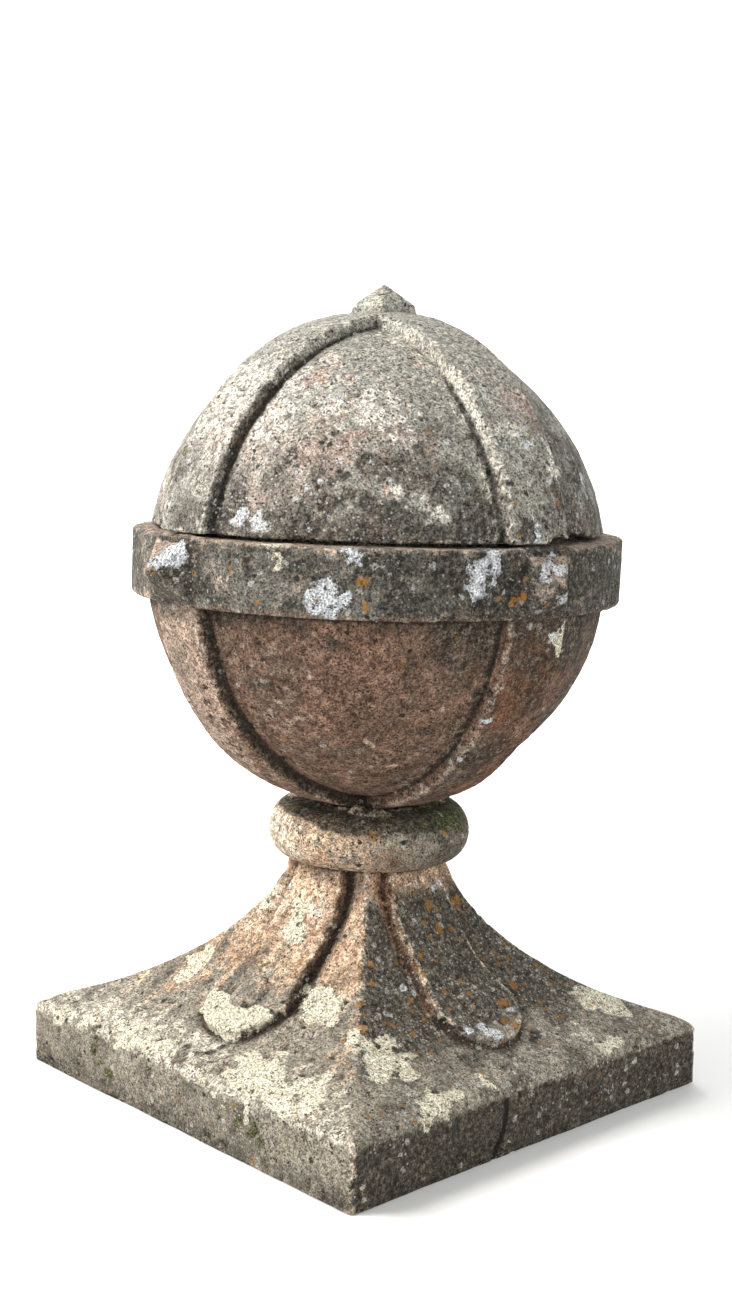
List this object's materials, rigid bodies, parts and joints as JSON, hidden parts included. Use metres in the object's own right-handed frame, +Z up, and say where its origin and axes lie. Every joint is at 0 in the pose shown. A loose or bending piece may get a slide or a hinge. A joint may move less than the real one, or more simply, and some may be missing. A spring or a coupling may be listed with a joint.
{
  "type": "ball finial",
  "caption": "Weathered cast-stone ball finial: strapped and belted ball in halves with pyramid studs, on a hollow square pedestal with tongue panels and a plinth.",
  "frame": {"origin": "centre of the plinth's underside", "axes": "+Z up through the pyramid's tip; X and Y along the plinth's sides"},
  "size_m": [0.5122, 0.5122, 0.7603],
  "materials": {
    "pedestal_stone": "buff cast stone, pitted, with cream and orange lichen and dark weather streaks",
    "lower_ball_stone": "reddish-brown cast stone, grey and lichen-spotted on the belt",
    "upper_ball_stone": "pinkish-cream cast stone with green-grey bloom and dark stains"
  },
  "bodies": {
    "root": {"pedestal": "pedestal_stone", "lower_half_ball": "lower_ball_stone", "upper_half_ball": "upper_ball_stone"}
  },
  "joints": []
}
